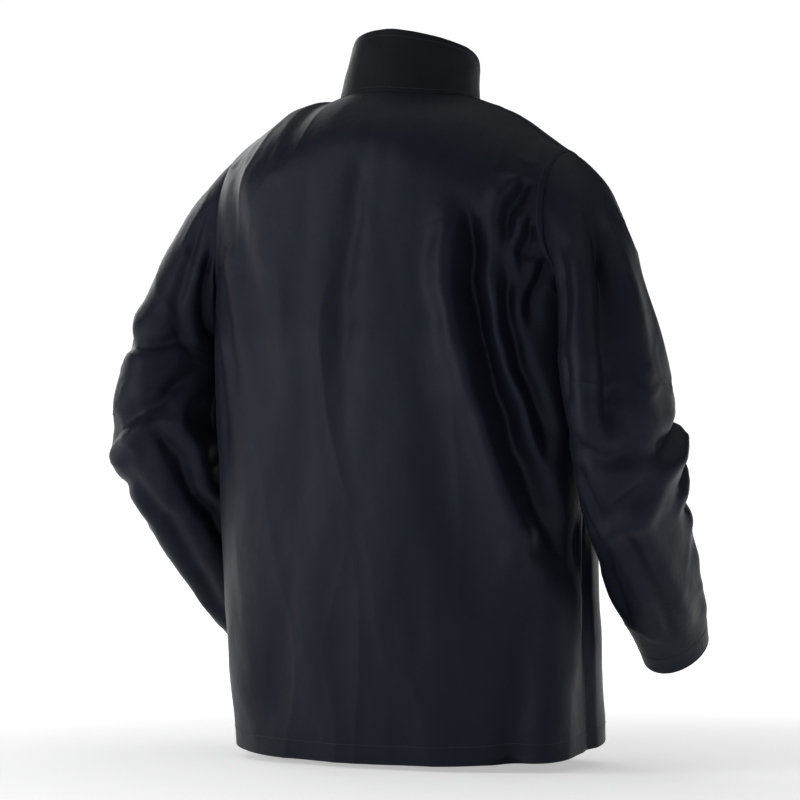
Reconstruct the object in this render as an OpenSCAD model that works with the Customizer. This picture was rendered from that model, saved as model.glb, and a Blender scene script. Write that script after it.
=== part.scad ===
// Welding jacket in flame-resistant cotton: stand collar, snap front, two set-in sleeves.
// Millimetres, +Z up. The front faces -Y and the wearer's left is +X. The origin is on the
// body's centre line at the level of the back collar seam.

/* [Body] */
// Height of the hem below the collar seam
hem_z = -783; // [-860:1:-700]
// Height of the underarm point
armpit_z = -290; // [-320:1:-270]
// Half of the chest's width
chest_a = 252; // [230:1:280]
// Half of the chest's depth
chest_b = 148; // [125:1:170]
// Half of the width across the shoulder seams
shoulder_x = 230; // [215:1:240]
// Fall of the shoulder line per millimetre
shoulder_fall = 0.398; // [0.3:0.001:0.42]
// How much the hem rises towards the front, per millimetre
hem_rise = 0.11; // [0:0.01:0.2]
// Thickness of the outer cloth
cloth_t = 1.5; // [0.8:0.1:1.5]

/* [Front edges] */
// How far the upper edge stands off the lower one
overlap_lift = 6.8; // [6.8:0.1:9]
// Share of the half front that overlaps
overlap_s = 0.147; // [0.12:0.001:0.17]
// Share of the half front that the facings cover
facing_s = 0.20; // [0.17:0.01:0.24]

/* [Collar] */
// Half of the neck opening's width
neck_r = 84; // [76:1:90]
// Place of the neck opening's middle towards the back
neck_y = 8; // [0:1:14]
// Height of the collar at the back
collar_h = 76; // [50:1:80]
// Height of the collar at its front ends
collar_hf = 36; // [30:1:60]
// How far the collar's top leans towards the front
collar_lean = 16; // [0:1:20]

/* [Snaps] */
// Radius of a snap's cap
cap_r = 7.5; // [6:0.1:9]
// Radius of a snap's stud
stud_r = 2.6; // [2:0.1:2.8]
// Number of snaps down the front
snap_n = 6; // [4:1:7]

/* [Inside pocket] */
// Depth of the inside pocket
pocket_h = 160; // [120:1:180]

/* [Hidden] */
va = 0.55;
sn = 0.55;
zr0 = 28;
pn = 2.3;
nn = 20;
snap_s = -0.075;

// ---- small functions ----
function clip(t) = min(max(t, 0), 1);
function sm(t) = let (c = clip(t)) c * c * (3 - 2 * c);
function mix(a, b, t) = a + (b - a) * t;
function unit(v) = v / norm(v);

// ---- the body's surface: side 1 is the back, -1 the front; s runs out from the middle
// to the side seam or armhole, v up from the hem ----
function mid_y(z) = lookup(z, [[hem_z, -22], [-620, -2], [-300, 16], [0, 10]]);
function half_a(z) = chest_a + lookup(z, [[hem_z, -10], [-620, -6], [-420, 0], [armpit_z, 0]]);
function half_b(z) = chest_b + lookup(z, [[hem_z, -2], [-600, 0]]);
function depth(x, z) = half_b(z) * pow(max(0, 1 - pow(abs(x) / half_a(z), pn)), 1 / pn);
function ridge(x) = zr0 - shoulder_fall * sqrt(x * x + 45 * 45);
function fall(side, x) = side > 0 ? 100
  : let (q = clip(abs(x) / shoulder_x)) 100 + 195 * (1 - q * q);
function out(s) = pow(sin(90 * clip(s)), 1.25);
function body_low(side, s, v) =
  let (z = mix(hem_z, armpit_z, clip(v / va)), x = half_a(z) * out(s),
       y = mid_y(z) + side * depth(x, z), r = sm((hem_z + 250 - z) / 250))
  [x, y, z - hem_rise * y * r];
function body_high(side, s, v) =
  let (u = clip((v - va) / (1 - va)), psi = clip(s / sn) * 90,
       xt = s < sn ? neck_r * sin(psi) : mix(neck_r, shoulder_x, clip((s - sn) / (1 - sn))),
       x = mix(half_a(armpit_z) * out(s), xt, sm(u / mix(1, 0.42, pow(s, 6)))),
       bt = depth(xt, 0),
       tt = s < sn ? clip(side * (neck_y + side * neck_r * cos(psi) - mid_y(0)) / bt) : 0,
       pt = acos(tt), h = fall(side, x), z1 = ridge(x) - h,
       l1 = max(z1 - armpit_z, 0.5), l2 = h * pt * PI / 180 * 0.95, us = l1 / (l1 + l2),
       p = pt * clip((u - us) / (1 - us)),
       z = u < us ? mix(armpit_z, z1, u / us) : ridge(x) - h * (1 - sin(p)))
  [x, mid_y(z) + side * depth(x, z) * (u < us ? 1 : cos(p)), z];
function body(side, s, v) =
  let (p = v <= va ? body_low(side, abs(s), v) : body_high(side, abs(s), v))
  s < 0 ? [-p[0], p[1], p[2]] : p;

// ---- the collar's surface: psi turns from the middle of the back to the front ----
function neck(psi) = psi <= 90 ? body(1, psi / 90 * sn, 1) : body(-1, (180 - psi) / 90 * sn, 1);
function psi_lift(psi) = overlap_lift * sm((psi - 163) / 17);
function collar(psi, h1) =
  let (h = mix(0.18 * psi_lift(psi) / overlap_lift, 1, h1), a = abs(psi) > 180 ? 360 - abs(psi) : abs(psi), n = neck(a), k = 1 - 0.1 * h,
       sg = (psi < 0 ? -1 : 1) * (abs(psi) > 180 ? -1 : 1))
  [n[0] * sg * k, neck_y + (n[1] - neck_y) * k - collar_lean * h,
   n[2] + mix(collar_h, collar_hf, (1 - cos(a)) / 2) * h];

// ---- a sleeve: arm = [start, elbow, wrist, radii at each, sag] for the +X side ----
left_arm = [[316, 34, -322], [336, 50, -420], [292, -123, -664],
  [61, 86], [72, 76], [66, 69], [40, 48], 0];
right_arm = [[302, 52, -322], [318, 60, -420], [290, -121, -664],
  [52, 86], [57, 78], [55, 72], [38, 48], 10];
corner = 62;
function arm_lens(m) = let (a = norm(m[1] - m[0]) - corner, b = 1.9 * corner,
  c = norm(m[2] - m[1]) - corner) [a, b, c, a + b + c];
function arm_at(m, w) =
  let (l = arm_lens(m), d = clip(w) * l[3], ua = unit(m[1] - m[0]), uw = unit(m[2] - m[1]),
       tb = clip((d - l[0]) / l[1]), e0 = m[1] - ua * corner, e1 = m[1] + uw * corner,
       p = d < l[0] ? m[0] + ua * d
         : d < l[0] + l[1] ? (1 - tb) * (1 - tb) * e0 + 2 * tb * (1 - tb) * m[1] + tb * tb * e1
         : e1 + uw * (d - l[0] - l[1]),
       ke = (l[0] + l[1] / 2) / l[3], q = clip((w - ke) / (1 - ke)))
  [p - [0, 0, m[7] * pow(sin(180 * q), 2)], unit(mix(ua, uw, tb)),
   [for (k = [0, 1]) lookup(w, [[0, m[3][k]], [ke * 0.7, (m[3][k] + m[4][k]) / 2],
     [ke, m[4][k]], [ke + 0.15, m[5][k]], [1, m[6][k]]])]];
function arm_ring(m, w, al) =
  let (c = arm_at(m, w), t = c[1], e1 = unit([1, 0, 0] - t[0] * t), e2 = cross(e1, t),
       be = 180 - 360 * al)
  c[0] + c[2][0] * cos(be) * e1 + c[2][1] * sin(be) * e2;
function armhole(al) = body(al <= 0.5 ? 1 : -1, 1, va + (1 - va) * (al <= 0.5 ? 2 * al : 2 - 2 * al));
function sleeve_cap(m, q, al) =
  let (r0 = armhole(al) + [0.7, 0, 0], r1 = arm_ring(m, 0, al), l = norm(r1 - r0),
       hi = 0.5 - 0.5 * cos(360 * al), t0 = unit([0.75, 0, -0.55 * hi]) * l * mix(0.3, 1, hi),
       t1 = unit(m[1] - m[0]) * l * mix(0.3, 1.1, hi), q2 = q * q, q3 = q2 * q)
  (2 * q3 - 3 * q2 + 1) * r0 + (q3 - 2 * q2 + q) * t0 + (3 * q2 - 2 * q3) * r1 + (q3 - q2) * t1;
function sleeve(m, q, al) = q <= 1 ? sleeve_cap(m, q, al) : arm_ring(m, q - 1, al);

// ---- cloth from a grid of points ----
function grid_n(g, i, j, w) =
  let (n = len(g) - 1, k = len(g[0]) - 1,
       a = g[min(i + 1, n)][j] - g[max(i - 1, 0)][j],
       b = w ? g[i][(j + 1) % (k + 1)] - g[i][(j + k) % (k + 1)]
             : g[i][min(j + 1, k)] - g[i][max(j - 1, 0)])
  unit(cross(b, a));
function lift(g, d, w = false) =
  [for (i = [0:len(g) - 1]) [for (j = [0:len(g[0]) - 1]) g[i][j] + grid_n(g, i, j, w) * d[i][j]]];
function flat_d(g, d) = [for (r = g) [for (p = r) d]];
module cloth(g, t, w = false) {
  n = len(g); k = len(g[0]); m = w ? k : k - 1;
  low = lift(g, is_num(t) ? flat_d(g, -t) : t, w);
  pts = [for (r = g) each r, for (r = low) each r];
  function id(l, i, j) = l * n * k + i * k + j % k;
  polyhedron(pts, convexity = 8, faces = [
    for (i = [0:n - 2], j = [0:m - 1]) each [
      [id(0, i, j), id(0, i + 1, j), id(0, i + 1, j + 1)],
      [id(0, i, j), id(0, i + 1, j + 1), id(0, i, j + 1)],
      [id(1, i, j), id(1, i + 1, j + 1), id(1, i + 1, j)],
      [id(1, i, j), id(1, i, j + 1), id(1, i + 1, j + 1)]],
    for (j = [0:m - 1]) each [
      [id(0, 0, j), id(0, 0, j + 1), id(1, 0, j + 1)],
      [id(0, 0, j), id(1, 0, j + 1), id(1, 0, j)],
      [id(0, n - 1, j), id(1, n - 1, j + 1), id(0, n - 1, j + 1)],
      [id(0, n - 1, j), id(1, n - 1, j), id(1, n - 1, j + 1)]],
    if (!w) for (i = [0:n - 2]) each [
      [id(0, i, 0), id(1, i, 0), id(1, i + 1, 0)],
      [id(0, i, 0), id(1, i + 1, 0), id(0, i + 1, 0)],
      [id(0, i, k - 1), id(1, i + 1, k - 1), id(1, i, k - 1)],
      [id(0, i, k - 1), id(0, i + 1, k - 1), id(1, i + 1, k - 1)]]]);
}

// ---- body panels ----
vs = [0, 0.08, 0.16, 0.24, 0.32, 0.4, 0.48, 0.55, 0.59, 0.63, 0.67, 0.71, 0.76, 0.81, 0.86,
  0.91, 0.955, 0.9996];
s_in = function(v) lookup(v, [[0, 0.51], [0.35, 0.4], [0.55, 0.36], [0.8, 0.3], [1, 0.18]]);
s_out = function(v) lookup(v, [[0, 0.77], [0.35, 0.62], [0.55, 0.57], [0.8, 0.54], [1, 0.52]]);
function front_grid(a, b, n) =
  [for (v = vs) [for (j = [0:n]) body(-1, mix(a(v), b(v), j / n), v)]];
module mirror_if(r) { mirror([r ? 1 : 0, 0, 0]) children(); }
back_g = [for (v = vs) [for (j = [nn:-1:-nn]) body(1, sign(j) * min(abs(j) / nn, 0.999), v)]];
module back_panel() color("#2b2e37") cloth(back_g, cloth_t);
module front_side(r) color("#292c35") mirror_if(r)
  cloth(front_grid(function(v) s_out(v) + 0.004, function(v) 0.999, 10), cloth_t);
module left_front_side() front_side(false);
module right_front_side() front_side(true);

// the collar between two angles, its outer face lifted by d
hs = [0.01, 0.34, 0.67, 1];
function collar_grid(a, b, n) = [for (h = hs) [for (j = [0:n]) collar(mix(a, b, j / n), h)]];
function edge_lift(s) = overlap_lift * sm((0.1 - s) / 0.1);
module collar_part(a, b, n, inner, left = false) {
  g = collar_grid(a, b, n);
  d = [for (r = g) [for (j = [0:n]) (left ? psi_lift(mix(a, b, j / n)) : 0) - (inner ? 2 : 0)]];
  cloth(lift(g, d), inner ? 1.1 : cloth_t);
}
module front_fold(r) color("#282b34") mirror_if(r) {
  cloth(front_grid(function(v) s_in(v) + 0.004, s_out, 6), cloth_t);
  collar_part(150, 96, 6, false);
  collar_part(150, 96, 6, true);
}
module left_front_fold() front_fold(false);
module right_front_fold() front_fold(true);
module left_front_edge() color("#292c35") {
  ss = [-1, -0.75, -0.5, -0.25, 0, 0.12, 0.25, 0.4, 0.6, 0.8, 1];
  at = function(q, v) q <= 0 ? overlap_s * q : q * s_in(v);
  g = [for (v = vs) [for (q = ss) body(-1, at(q, v), v)]];
  cloth(lift(g, [for (v = vs) [for (q = ss) edge_lift(at(q, v))]]), cloth_t);
}
module right_front_edge() color("#292c35") mirror_if(true)
  cloth(front_grid(function(v) 0.005, s_in, 8), cloth_t);
module left_facing() color("#23262e") {
  n = 9; at = function(j) mix(-overlap_s + 0.008, facing_s, j / n);
  fs = [for (v = vs) if (v < 0.97) v + 0.004];
  g = [for (v = fs) [for (j = [0:n]) body(-1, at(j) * (at(j) > 0 && v > 0.9 ? 0.85 : 1), v)]];
  cloth(lift(g, [for (v = fs) [for (j = [0:n]) edge_lift(at(j)) - 2.2]]), 1);
}
module right_facing() color("#23262e") mirror_if(true) {
  n = 5; fs = [for (v = vs) if (v < 0.97) v + 0.004];
  g = [for (v = fs) [for (j = [0:n]) body(-1, mix(0.012, facing_s * (v > 0.9 ? 0.85 : 1), j / n), v)]];
  cloth(lift(g, flat_d(g, -1.8)), 1.2);
}

// ---- collar ----
module collar_back_outer() color("#1b1d22") collar_part(95.5, -95.5, 22, false);
module collar_back_inner() color("#22242b") collar_part(95.5, -95.5, 22, true);
module collar_left_outer() color("#1b1d22") collar_part(203, 150.6, 10, false, true);
module collar_left_inner() color("#22242b") collar_part(202, 150.6, 10, true, true);
module collar_right_outer() color("#1b1d22") collar_part(-150.6, -179, 5, false);
module collar_right_inner() color("#22242b") collar_part(-150.6, -178.6, 5, true);
module neck_tape() color("#15161a")
  cloth([for (h = [0.04, 0.2]) [for (j = [0:8]) let (p = collar(mix(70, -70, j / 8), h))
    [p[0] * 0.955, neck_y + (p[1] - neck_y) * 0.955, p[2]]]], 0.6);
module hanger_loop() color("#15161a") {
  g = [for (h = [0.18, 0.27]) [for (j = [0:10]) collar(mix(17, -17, j / 10), h)]];
  cloth(lift(g, [for (r = g) [for (j = [0:10]) -5.2 - 6 * sin(18 * j)]]), 0.8);
}
module size_label() color("#b9bcc2") {
  g = [for (h = [0.42, 0.58, 0.74]) [for (j = [0:6]) collar(mix(14, -14, j / 6), h)]];
  cloth(lift(g, flat_d(g, -3.5)), 0.5);
}

// ---- snaps: z of each stands off the cloth ----
module on_front(v, d) {
  p = body(-1, snap_s, v);
  n = unit(cross(body(-1, snap_s + 0.02, v) - body(-1, snap_s - 0.02, v),
    body(-1, snap_s, v + 0.01) - body(-1, snap_s, v - 0.01)));
  x = unit(cross([0, 0, 1], n)); y = cross(n, x); q = p + n * d;
  multmatrix([[x[0], y[0], n[0], q[0]], [x[1], y[1], n[1], q[1]], [x[2], y[2], n[2], q[2]]])
    children();
}
module on_collar(d) {
  p = collar(194, 0.5);
  n = unit(cross(collar(192, 0.5) - collar(196, 0.5), collar(194, 0.6) - collar(194, 0.4)));
  x = unit(cross([0, 0, 1], n)); y = cross(n, x); q = p + n * d;
  multmatrix([[x[0], y[0], n[0], q[0]], [x[1], y[1], n[1], q[1]], [x[2], y[2], n[2], q[2]]])
    children();
}
snap_v = [for (k = [0:snap_n - 1]) mix(0.06, 0.93, k / (snap_n - 1))];
module cap() { cylinder(r = cap_r, h = 0.5, $fn = 24);
  translate([0, 0, 0.5]) cylinder(r1 = cap_r, r2 = cap_r * 0.6, h = 0.9, $fn = 24); }
module socket() difference() {
  cylinder(r = 5.5, h = 1.9, $fn = 24);
  translate([0, 0, -1]) cylinder(r = stud_r + 0.9, h = 2.8, $fn = 24);
}
module stud() { cylinder(r = 5.5, h = 0.4, $fn = 24); cylinder(r = stud_r, h = 2.2, $fn = 24); }
module snap_back() cylinder(r = 5, h = 0.8, $fn = 24);
lift_cap = overlap_lift + 0.35;
module front_snap_caps() color("#3a3c42") for (v = snap_v) on_front(v, lift_cap) cap();
module front_snap_sockets() color("#8a8c90") for (v = snap_v)
  on_front(v, overlap_lift - 5.65) socket();
module front_snap_studs() color("#8a8c90") for (v = snap_v) on_front(v, 0.25) stud();
module front_snap_backs() color("#3a3c42") for (v = snap_v) on_front(v, -4.2) snap_back();
module collar_snap_cap() color("#3a3c42") on_collar(lift_cap) cap();
module collar_snap_socket() color("#8a8c90") on_collar(overlap_lift - 5.65) socket();
module collar_snap_stud() color("#8a8c90") on_collar(0.25) stud();
module collar_snap_back() color("#3a3c42") on_collar(-4.2) snap_back();

// ---- inside pocket: a cloth bag behind the left front, open at the top ----
module pouch(inset, back, deep) {
  z1 = -360 + inset; z0 = -360 - pocket_h + inset; x0 = 12 + inset; x1 = 114 - inset;
  g = [for (i = [0:6]) [for (j = [0:8]) let (x = mix(x0, x1, j / 8), z = mix(z0, z1, i / 6))
    [x, mid_y(z) - depth(x, z) + back, z]]];
  cloth(g, [for (i = [0:6]) [for (j = [0:8]) -deep - 14 * sin(22.5 * j) * sin(15 * i)]]);
}
module inside_pocket() color("#23262e") difference() {
  pouch(0, 3.6, 2);
  pouch(1, 4.4, 0.4);
}

// ---- sleeves ----
ring = [for (k = [0:23]) k / 24];
function tube(m, qs) = [for (q = qs) [for (al = ring) sleeve(m, q, al)]];
module sleeve_tube(m, qs, r) color("#232630") mirror_if(r) cloth(tube(m, qs), cloth_t, true);
cap_q = [0, 0.12, 0.26, 0.42, 0.58, 0.74, 0.88, 1];
up_q = [1.004, 1.05, 1.1];
el_q = [1.104, 1.18, 1.24, 1.3, 1.36, 1.42];
fo_q = [1.424, 1.52, 1.62, 1.72, 1.82, 1.91, 2];
module left_sleeve_cap() sleeve_tube(left_arm, cap_q, false);
module left_sleeve_upper() sleeve_tube(left_arm, up_q, false);
module left_sleeve_elbow() sleeve_tube(left_arm, el_q, false);
module left_sleeve_fore() sleeve_tube(left_arm, fo_q, false);
module right_sleeve_cap() sleeve_tube(right_arm, cap_q, true);
module right_sleeve_upper() sleeve_tube(right_arm, up_q, true);
module right_sleeve_elbow() sleeve_tube(right_arm, el_q, true);
module right_sleeve_fore() sleeve_tube(right_arm, fo_q, true);

// ---- cuffs ----
module cuff_band(m, r) color("#1f222a") mirror_if(r) {
  g = [for (q = [1.9, 1.95, 1.998]) [for (al = ring) sleeve(m, q, al)]];
  cloth(lift(g, flat_d(g, -cloth_t - 0.35), true), 1.1, true);
}
module left_cuff_band() cuff_band(left_arm, false);
module right_cuff_band() cuff_band(right_arm, true);
module on_cuff(m, al, d, r) {
  q = 1.945; p = sleeve(m, q, al);
  n = unit(cross(sleeve(m, q, al + 0.01) - sleeve(m, q, al - 0.01),
    sleeve(m, q + 0.01, al) - sleeve(m, q - 0.01, al)));
  x = unit(cross([0, 0, 1], n)); y = cross(n, x); o = p + n * d;
  mirror_if(r) multmatrix([[x[0], y[0], n[0], o[0]], [x[1], y[1], n[1], o[1]],
    [x[2], y[2], n[2], o[2]]]) children();
}
module cuff_tab(m, r) color("#232630") mirror_if(r) {
  g = [for (q = [1.905, 1.945, 1.985]) [for (j = [0:8])
    let (e = j > 6 ? 0.012 * (j - 6) * (q == 1.945 ? 1 : 0) : 0) sleeve(m, q, 0.77 + 0.0225 * j + e)]];
  cloth(lift(g, flat_d(g, 5.3)), 1.2);
}
module left_cuff_tab() cuff_tab(left_arm, false);
module right_cuff_tab() cuff_tab(right_arm, true);
module tab_snap(m, r) color("#3a3c42") {
  on_cuff(m, 0.93, 5.5, r) cap();
  on_cuff(m, 0.93, 1.25, r) socket();
}
module left_tab_snap() tab_snap(left_arm, false);
module right_tab_snap() tab_snap(right_arm, true);
module left_cuff_stud() color("#8a8c90") on_cuff(left_arm, 0.93, 0.3, false) stud();
module right_cuff_stud() color("#8a8c90") on_cuff(right_arm, 0.93, 0.3, true) stud();

back_panel();
left_front_side();
right_front_side();
left_front_fold();
right_front_fold();
left_front_edge();
right_front_edge();
left_facing();
right_facing();
collar_back_outer();
collar_back_inner();
collar_left_outer();
collar_left_inner();
collar_right_outer();
collar_right_inner();
neck_tape();
hanger_loop();
size_label();
inside_pocket();
front_snap_caps();
front_snap_sockets();
front_snap_studs();
front_snap_backs();
collar_snap_cap();
collar_snap_socket();
collar_snap_stud();
collar_snap_back();
left_sleeve_cap();
left_sleeve_upper();
left_sleeve_elbow();
left_sleeve_fore();
left_cuff_band();
left_cuff_tab();
left_tab_snap();
left_cuff_stud();
right_sleeve_cap();
right_sleeve_upper();
right_sleeve_elbow();
right_sleeve_fore();
right_cuff_band();
right_cuff_tab();
right_tab_snap();
right_cuff_stud();
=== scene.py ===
import bpy, math
import numpy as np
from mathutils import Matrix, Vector, noise


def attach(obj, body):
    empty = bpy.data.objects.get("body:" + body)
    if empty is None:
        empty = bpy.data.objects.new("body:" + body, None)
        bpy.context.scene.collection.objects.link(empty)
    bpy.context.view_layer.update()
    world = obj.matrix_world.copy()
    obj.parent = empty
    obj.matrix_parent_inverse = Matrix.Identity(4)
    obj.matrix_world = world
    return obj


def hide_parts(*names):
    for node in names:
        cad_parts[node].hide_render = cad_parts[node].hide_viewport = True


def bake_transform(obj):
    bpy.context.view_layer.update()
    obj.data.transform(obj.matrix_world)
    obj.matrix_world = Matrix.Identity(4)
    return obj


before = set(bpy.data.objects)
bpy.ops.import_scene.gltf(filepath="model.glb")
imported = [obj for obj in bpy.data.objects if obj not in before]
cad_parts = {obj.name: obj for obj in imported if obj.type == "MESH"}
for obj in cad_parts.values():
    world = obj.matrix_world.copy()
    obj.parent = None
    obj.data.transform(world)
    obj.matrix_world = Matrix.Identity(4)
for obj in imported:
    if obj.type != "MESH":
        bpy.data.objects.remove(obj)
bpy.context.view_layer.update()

# ------------------------------------------------------------------ the jacket's surface, in millimetres
# Heights of the hem and of the lowest point of the armholes, half the body's width and depth,
# half the width over the shoulders, and the neck's radius and centre.
HEM, PIT, A0, B0, XSH, NR, NY = -783.0, -290.0, 252.0, 148.0, 230.0, 84.0, 8.0
# The armhole's lowest row, the column where the neck ends, and how square the body's outline is.
VA, SN, PN = 0.55, 0.55, 2.3
# The cloth's thickness, how far the left front stands off over the right one, and, as columns,
# how far it laps over and how wide the facings are.
T = 1.5
LIFT, OVER, FACE = 6.8, 0.147, 0.20
# How far a seam of the body draws the cloth in, and how wide its groove is.
SEAM_PULL, SEAM_WIDE = 0.9, 2.2
# Texture units for one unit of a sheet's columns and of its rows.
BODY_UV, SLEEVE_UV, COLLAR_UV, POCKET_UV = (0.33, 0.86), (0.5, 0.36), (0.0015, 0.068), (0.1, 0.16)


def sm(t):
    t = np.clip(t, 0, 1)
    return t * t * (3 - 2 * t)


def mix(a, b, t):
    return a + (b - a) * t


def unit(v):
    return v / np.maximum(np.linalg.norm(v, axis=-1, keepdims=True), 1e-12)


def mid_y(z):
    return np.interp(z, [HEM, -620, -300, 0], [-22, -2, 16, 10])


def half_a(z):
    return np.interp(z, [HEM, -620, -420, PIT], [A0 - 10, A0 - 6, A0, A0])


def half_b(z):
    return np.interp(z, [HEM, -600], [B0 - 2, B0])


def depth(x, z):
    return half_b(z) * np.maximum(0, 1 - (np.abs(x) / half_a(z)) ** PN) ** (1 / PN)


def ridge(x):
    return 28 - 0.398 * np.sqrt(x * x + 2025)


def fall(side, x):
    q = np.clip(np.abs(x) / XSH, 0, 1)
    return 100 + (0 if side > 0 else 195) * (1 - q * q)


def out(s):
    return np.sin(np.radians(90 * np.clip(s, 0, 1))) ** 1.25


def body(side, s, v):
    """A point of the body: side 1 is the back and -1 the front, s runs from the middle to the side,
    and v up from the hem."""
    s, v = np.broadcast_arrays(np.asarray(s, float), np.asarray(v, float))
    sg, s = np.where(s < 0, -1.0, 1.0), np.abs(s)
    u = np.clip((v - VA) / (1 - VA), 0, 1)
    zl = mix(HEM, PIT, np.clip(v / VA, 0, 1))
    xl = half_a(zl) * out(s)
    yl = mid_y(zl) + side * depth(xl, zl)
    zl2 = zl - 0.11 * yl * sm((HEM + 250 - zl) / 250)
    psi = np.radians(np.clip(s / SN, 0, 1) * 90)
    xt = np.where(s < SN, NR * np.sin(psi), mix(NR, XSH, np.clip((s - SN) / (1 - SN), 0, 1)))
    x = mix(half_a(PIT) * out(s), xt, sm(u / mix(1.0, 0.42, s ** 6)))
    bt = depth(xt, 0.0)
    tt = np.where(s < SN, np.clip(side * (NY + side * NR * np.cos(psi) - mid_y(0)) / bt, 0, 1), 0.0)
    pt = np.arccos(tt)
    h = fall(side, x)
    z1 = ridge(x) - h
    l1, l2 = np.maximum(z1 - PIT, 0.5), h * pt * 0.95
    us = l1 / (l1 + l2)
    p = pt * np.clip((u - us) / (1 - us), 0, 1)
    z = np.where(u < us, mix(PIT, z1, np.clip(u / us, 0, 1)), ridge(x) - h * (1 - np.sin(p)))
    y = mid_y(z) + side * depth(x, z) * np.where(u < us, 1.0, np.cos(p))
    low = v <= VA
    return np.stack([np.where(low, xl, x) * sg, np.where(low, yl, y), np.where(low, zl2, z)], -1)


def neck(psi):
    psi = np.asarray(psi, float)
    b = body(1, psi / 90 * SN, 1.0)
    f = body(-1, (180 - psi) / 90 * SN, 1.0)
    return np.where((psi <= 90)[..., None], b, f)


def psi_lap(psi):
    """How far the left collar end stands off, over the right one."""
    return LIFT * sm((psi - 163) / 17)


def collar(psi, h):
    psi, h = np.broadcast_arrays(np.asarray(psi, float), np.asarray(h, float))
    h = mix(0.18 * psi_lap(psi) / LIFT, 1, h)
    a = np.where(np.abs(psi) > 180, 360 - np.abs(psi), np.abs(psi))
    n = neck(a)
    k = 1 - 0.1 * h
    sg = np.where(psi < 0, -1, 1) * np.where(np.abs(psi) > 180, -1, 1)
    return np.stack([n[..., 0] * sg * k, NY + (n[..., 1] - NY) * k - 16 * h,
                     n[..., 2] + mix(76, 36, (1 - np.cos(np.radians(a))) / 2) * h], -1)


ARMS = {1: dict(A=(316, 34, -322), E=(336, 50, -420), W=(292, -123, -664),
                r=((61, 86), (72, 76), (66, 69), (40, 48)), sag=0),
        -1: dict(A=(302, 52, -322), E=(318, 60, -420), W=(290, -121, -664),
                 r=((52, 86), (57, 78), (55, 72), (38, 48)), sag=10)}
for m in ARMS.values():
    for k in "AEW":
        m[k] = np.array(m[k], float)
    m["ua"], m["uw"] = unit(m["E"] - m["A"]), unit(m["W"] - m["E"])
    m["l"] = [np.linalg.norm(m["E"] - m["A"]) - 62, 1.9 * 62, np.linalg.norm(m["W"] - m["E"]) - 62]
    m["len"] = sum(m["l"])
    m["ke"] = (m["l"][0] + m["l"][1] / 2) / m["len"]


def arm_at(m, w):
    w = np.asarray(w, float)
    l0, lb, _ = m["l"]
    d = (np.clip(w, 0, 1) * m["len"])[..., None]
    tb = np.clip((d - l0) / lb, 0, 1)
    e0, e1 = m["E"] - m["ua"] * 62, m["E"] + m["uw"] * 62
    p = np.where(d < l0, m["A"] + m["ua"] * d, np.where(
        d < l0 + lb, (1 - tb) ** 2 * e0 + 2 * tb * (1 - tb) * m["E"] + tb ** 2 * e1, e1 + m["uw"] * (d - l0 - lb)))
    ke = m["ke"]
    q = np.clip((w - ke) / (1 - ke), 0, 1)
    p = p - np.stack([0 * q, 0 * q, m["sag"] * np.sin(np.pi * q) ** 2], -1)
    r = m["r"]
    rr = [np.interp(w, [0, ke * 0.7, ke, ke + 0.15, 1],
                    [r[0][k], (r[0][k] + r[1][k]) / 2, r[1][k], r[2][k], r[3][k]]) for k in (0, 1)]
    return p, unit(mix(m["ua"], m["uw"], tb)), rr


def arm_ring(m, w, al):
    p, t, (rx, ry) = arm_at(m, w)
    ex = np.array([1.0, 0, 0])
    e1 = unit(ex - t[..., :1] * t)
    e2 = np.cross(e1, t)
    be = np.pi - 2 * np.pi * np.asarray(al, float)
    return p + (rx * np.cos(be))[..., None] * e1 + (ry * np.sin(be))[..., None] * e2


def armhole(al):
    al = np.asarray(al, float)
    v = VA + (1 - VA) * np.where(al <= 0.5, 2 * al, 2 - 2 * al)
    return np.where((al <= 0.5)[..., None], body(1, 1.0, v), body(-1, 1.0, v))


def sleeve(m, q, al):
    """A point of a sleeve on the +X side: q 0 to 1 is the cap and 1 to 2 the arm, and al turns
    from the underarm over the back."""
    q, al = np.broadcast_arrays(np.asarray(q, float), np.asarray(al, float) % 1.0)
    r0 = armhole(al) - [1.5, 0, 0]
    r1 = arm_ring(m, 0 * al, al)
    le = np.linalg.norm(r1 - r0, axis=-1, keepdims=True)
    hi = 0.5 - 0.5 * np.cos(2 * np.pi * al)
    t0 = unit(np.stack([0.75 + 0 * al, 0 * al, -0.55 * hi], -1)) * le * mix(0.3, 1.0, hi)[..., None]
    t1 = m["ua"] * le * mix(0.3, 1.1, hi)[..., None]
    t = np.clip(q, 0, 1)[..., None]
    h = ((2 * t ** 3 - 3 * t ** 2 + 1) * r0 + (t ** 3 - 2 * t ** 2 + t) * t0
         + (3 * t ** 2 - 2 * t ** 3) * r1 + (t ** 3 - t ** 2) * t1)
    return np.where((q <= 1)[..., None], h, arm_ring(m, np.clip(q - 1, 0, 1), al))


def normal(f, a, b, ea, eb):
    """The outward normal of the surface f(a, b), where a runs along columns and b along rows."""
    da = f(a + ea, b) - f(a - ea, b)
    db = f(a, b + eb) - f(a, b - eb)
    return unit(np.cross(da, db))


# ------------------------------------------------------------------ folds
def bump(p, scale, seed, octaves=3, stretch=(1, 1, 1)):
    """Smooth noise from -1 to 1 at points p."""
    q = np.asarray(p, float).reshape(-1, 3) * np.array(stretch) / scale + seed * 17.3
    r = np.array([noise.fractal(Vector(c), 1.0, 2.0, octaves, noise_basis="PERLIN_ORIGINAL") for c in q])
    return r.reshape(np.asarray(p).shape[:-1])


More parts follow.
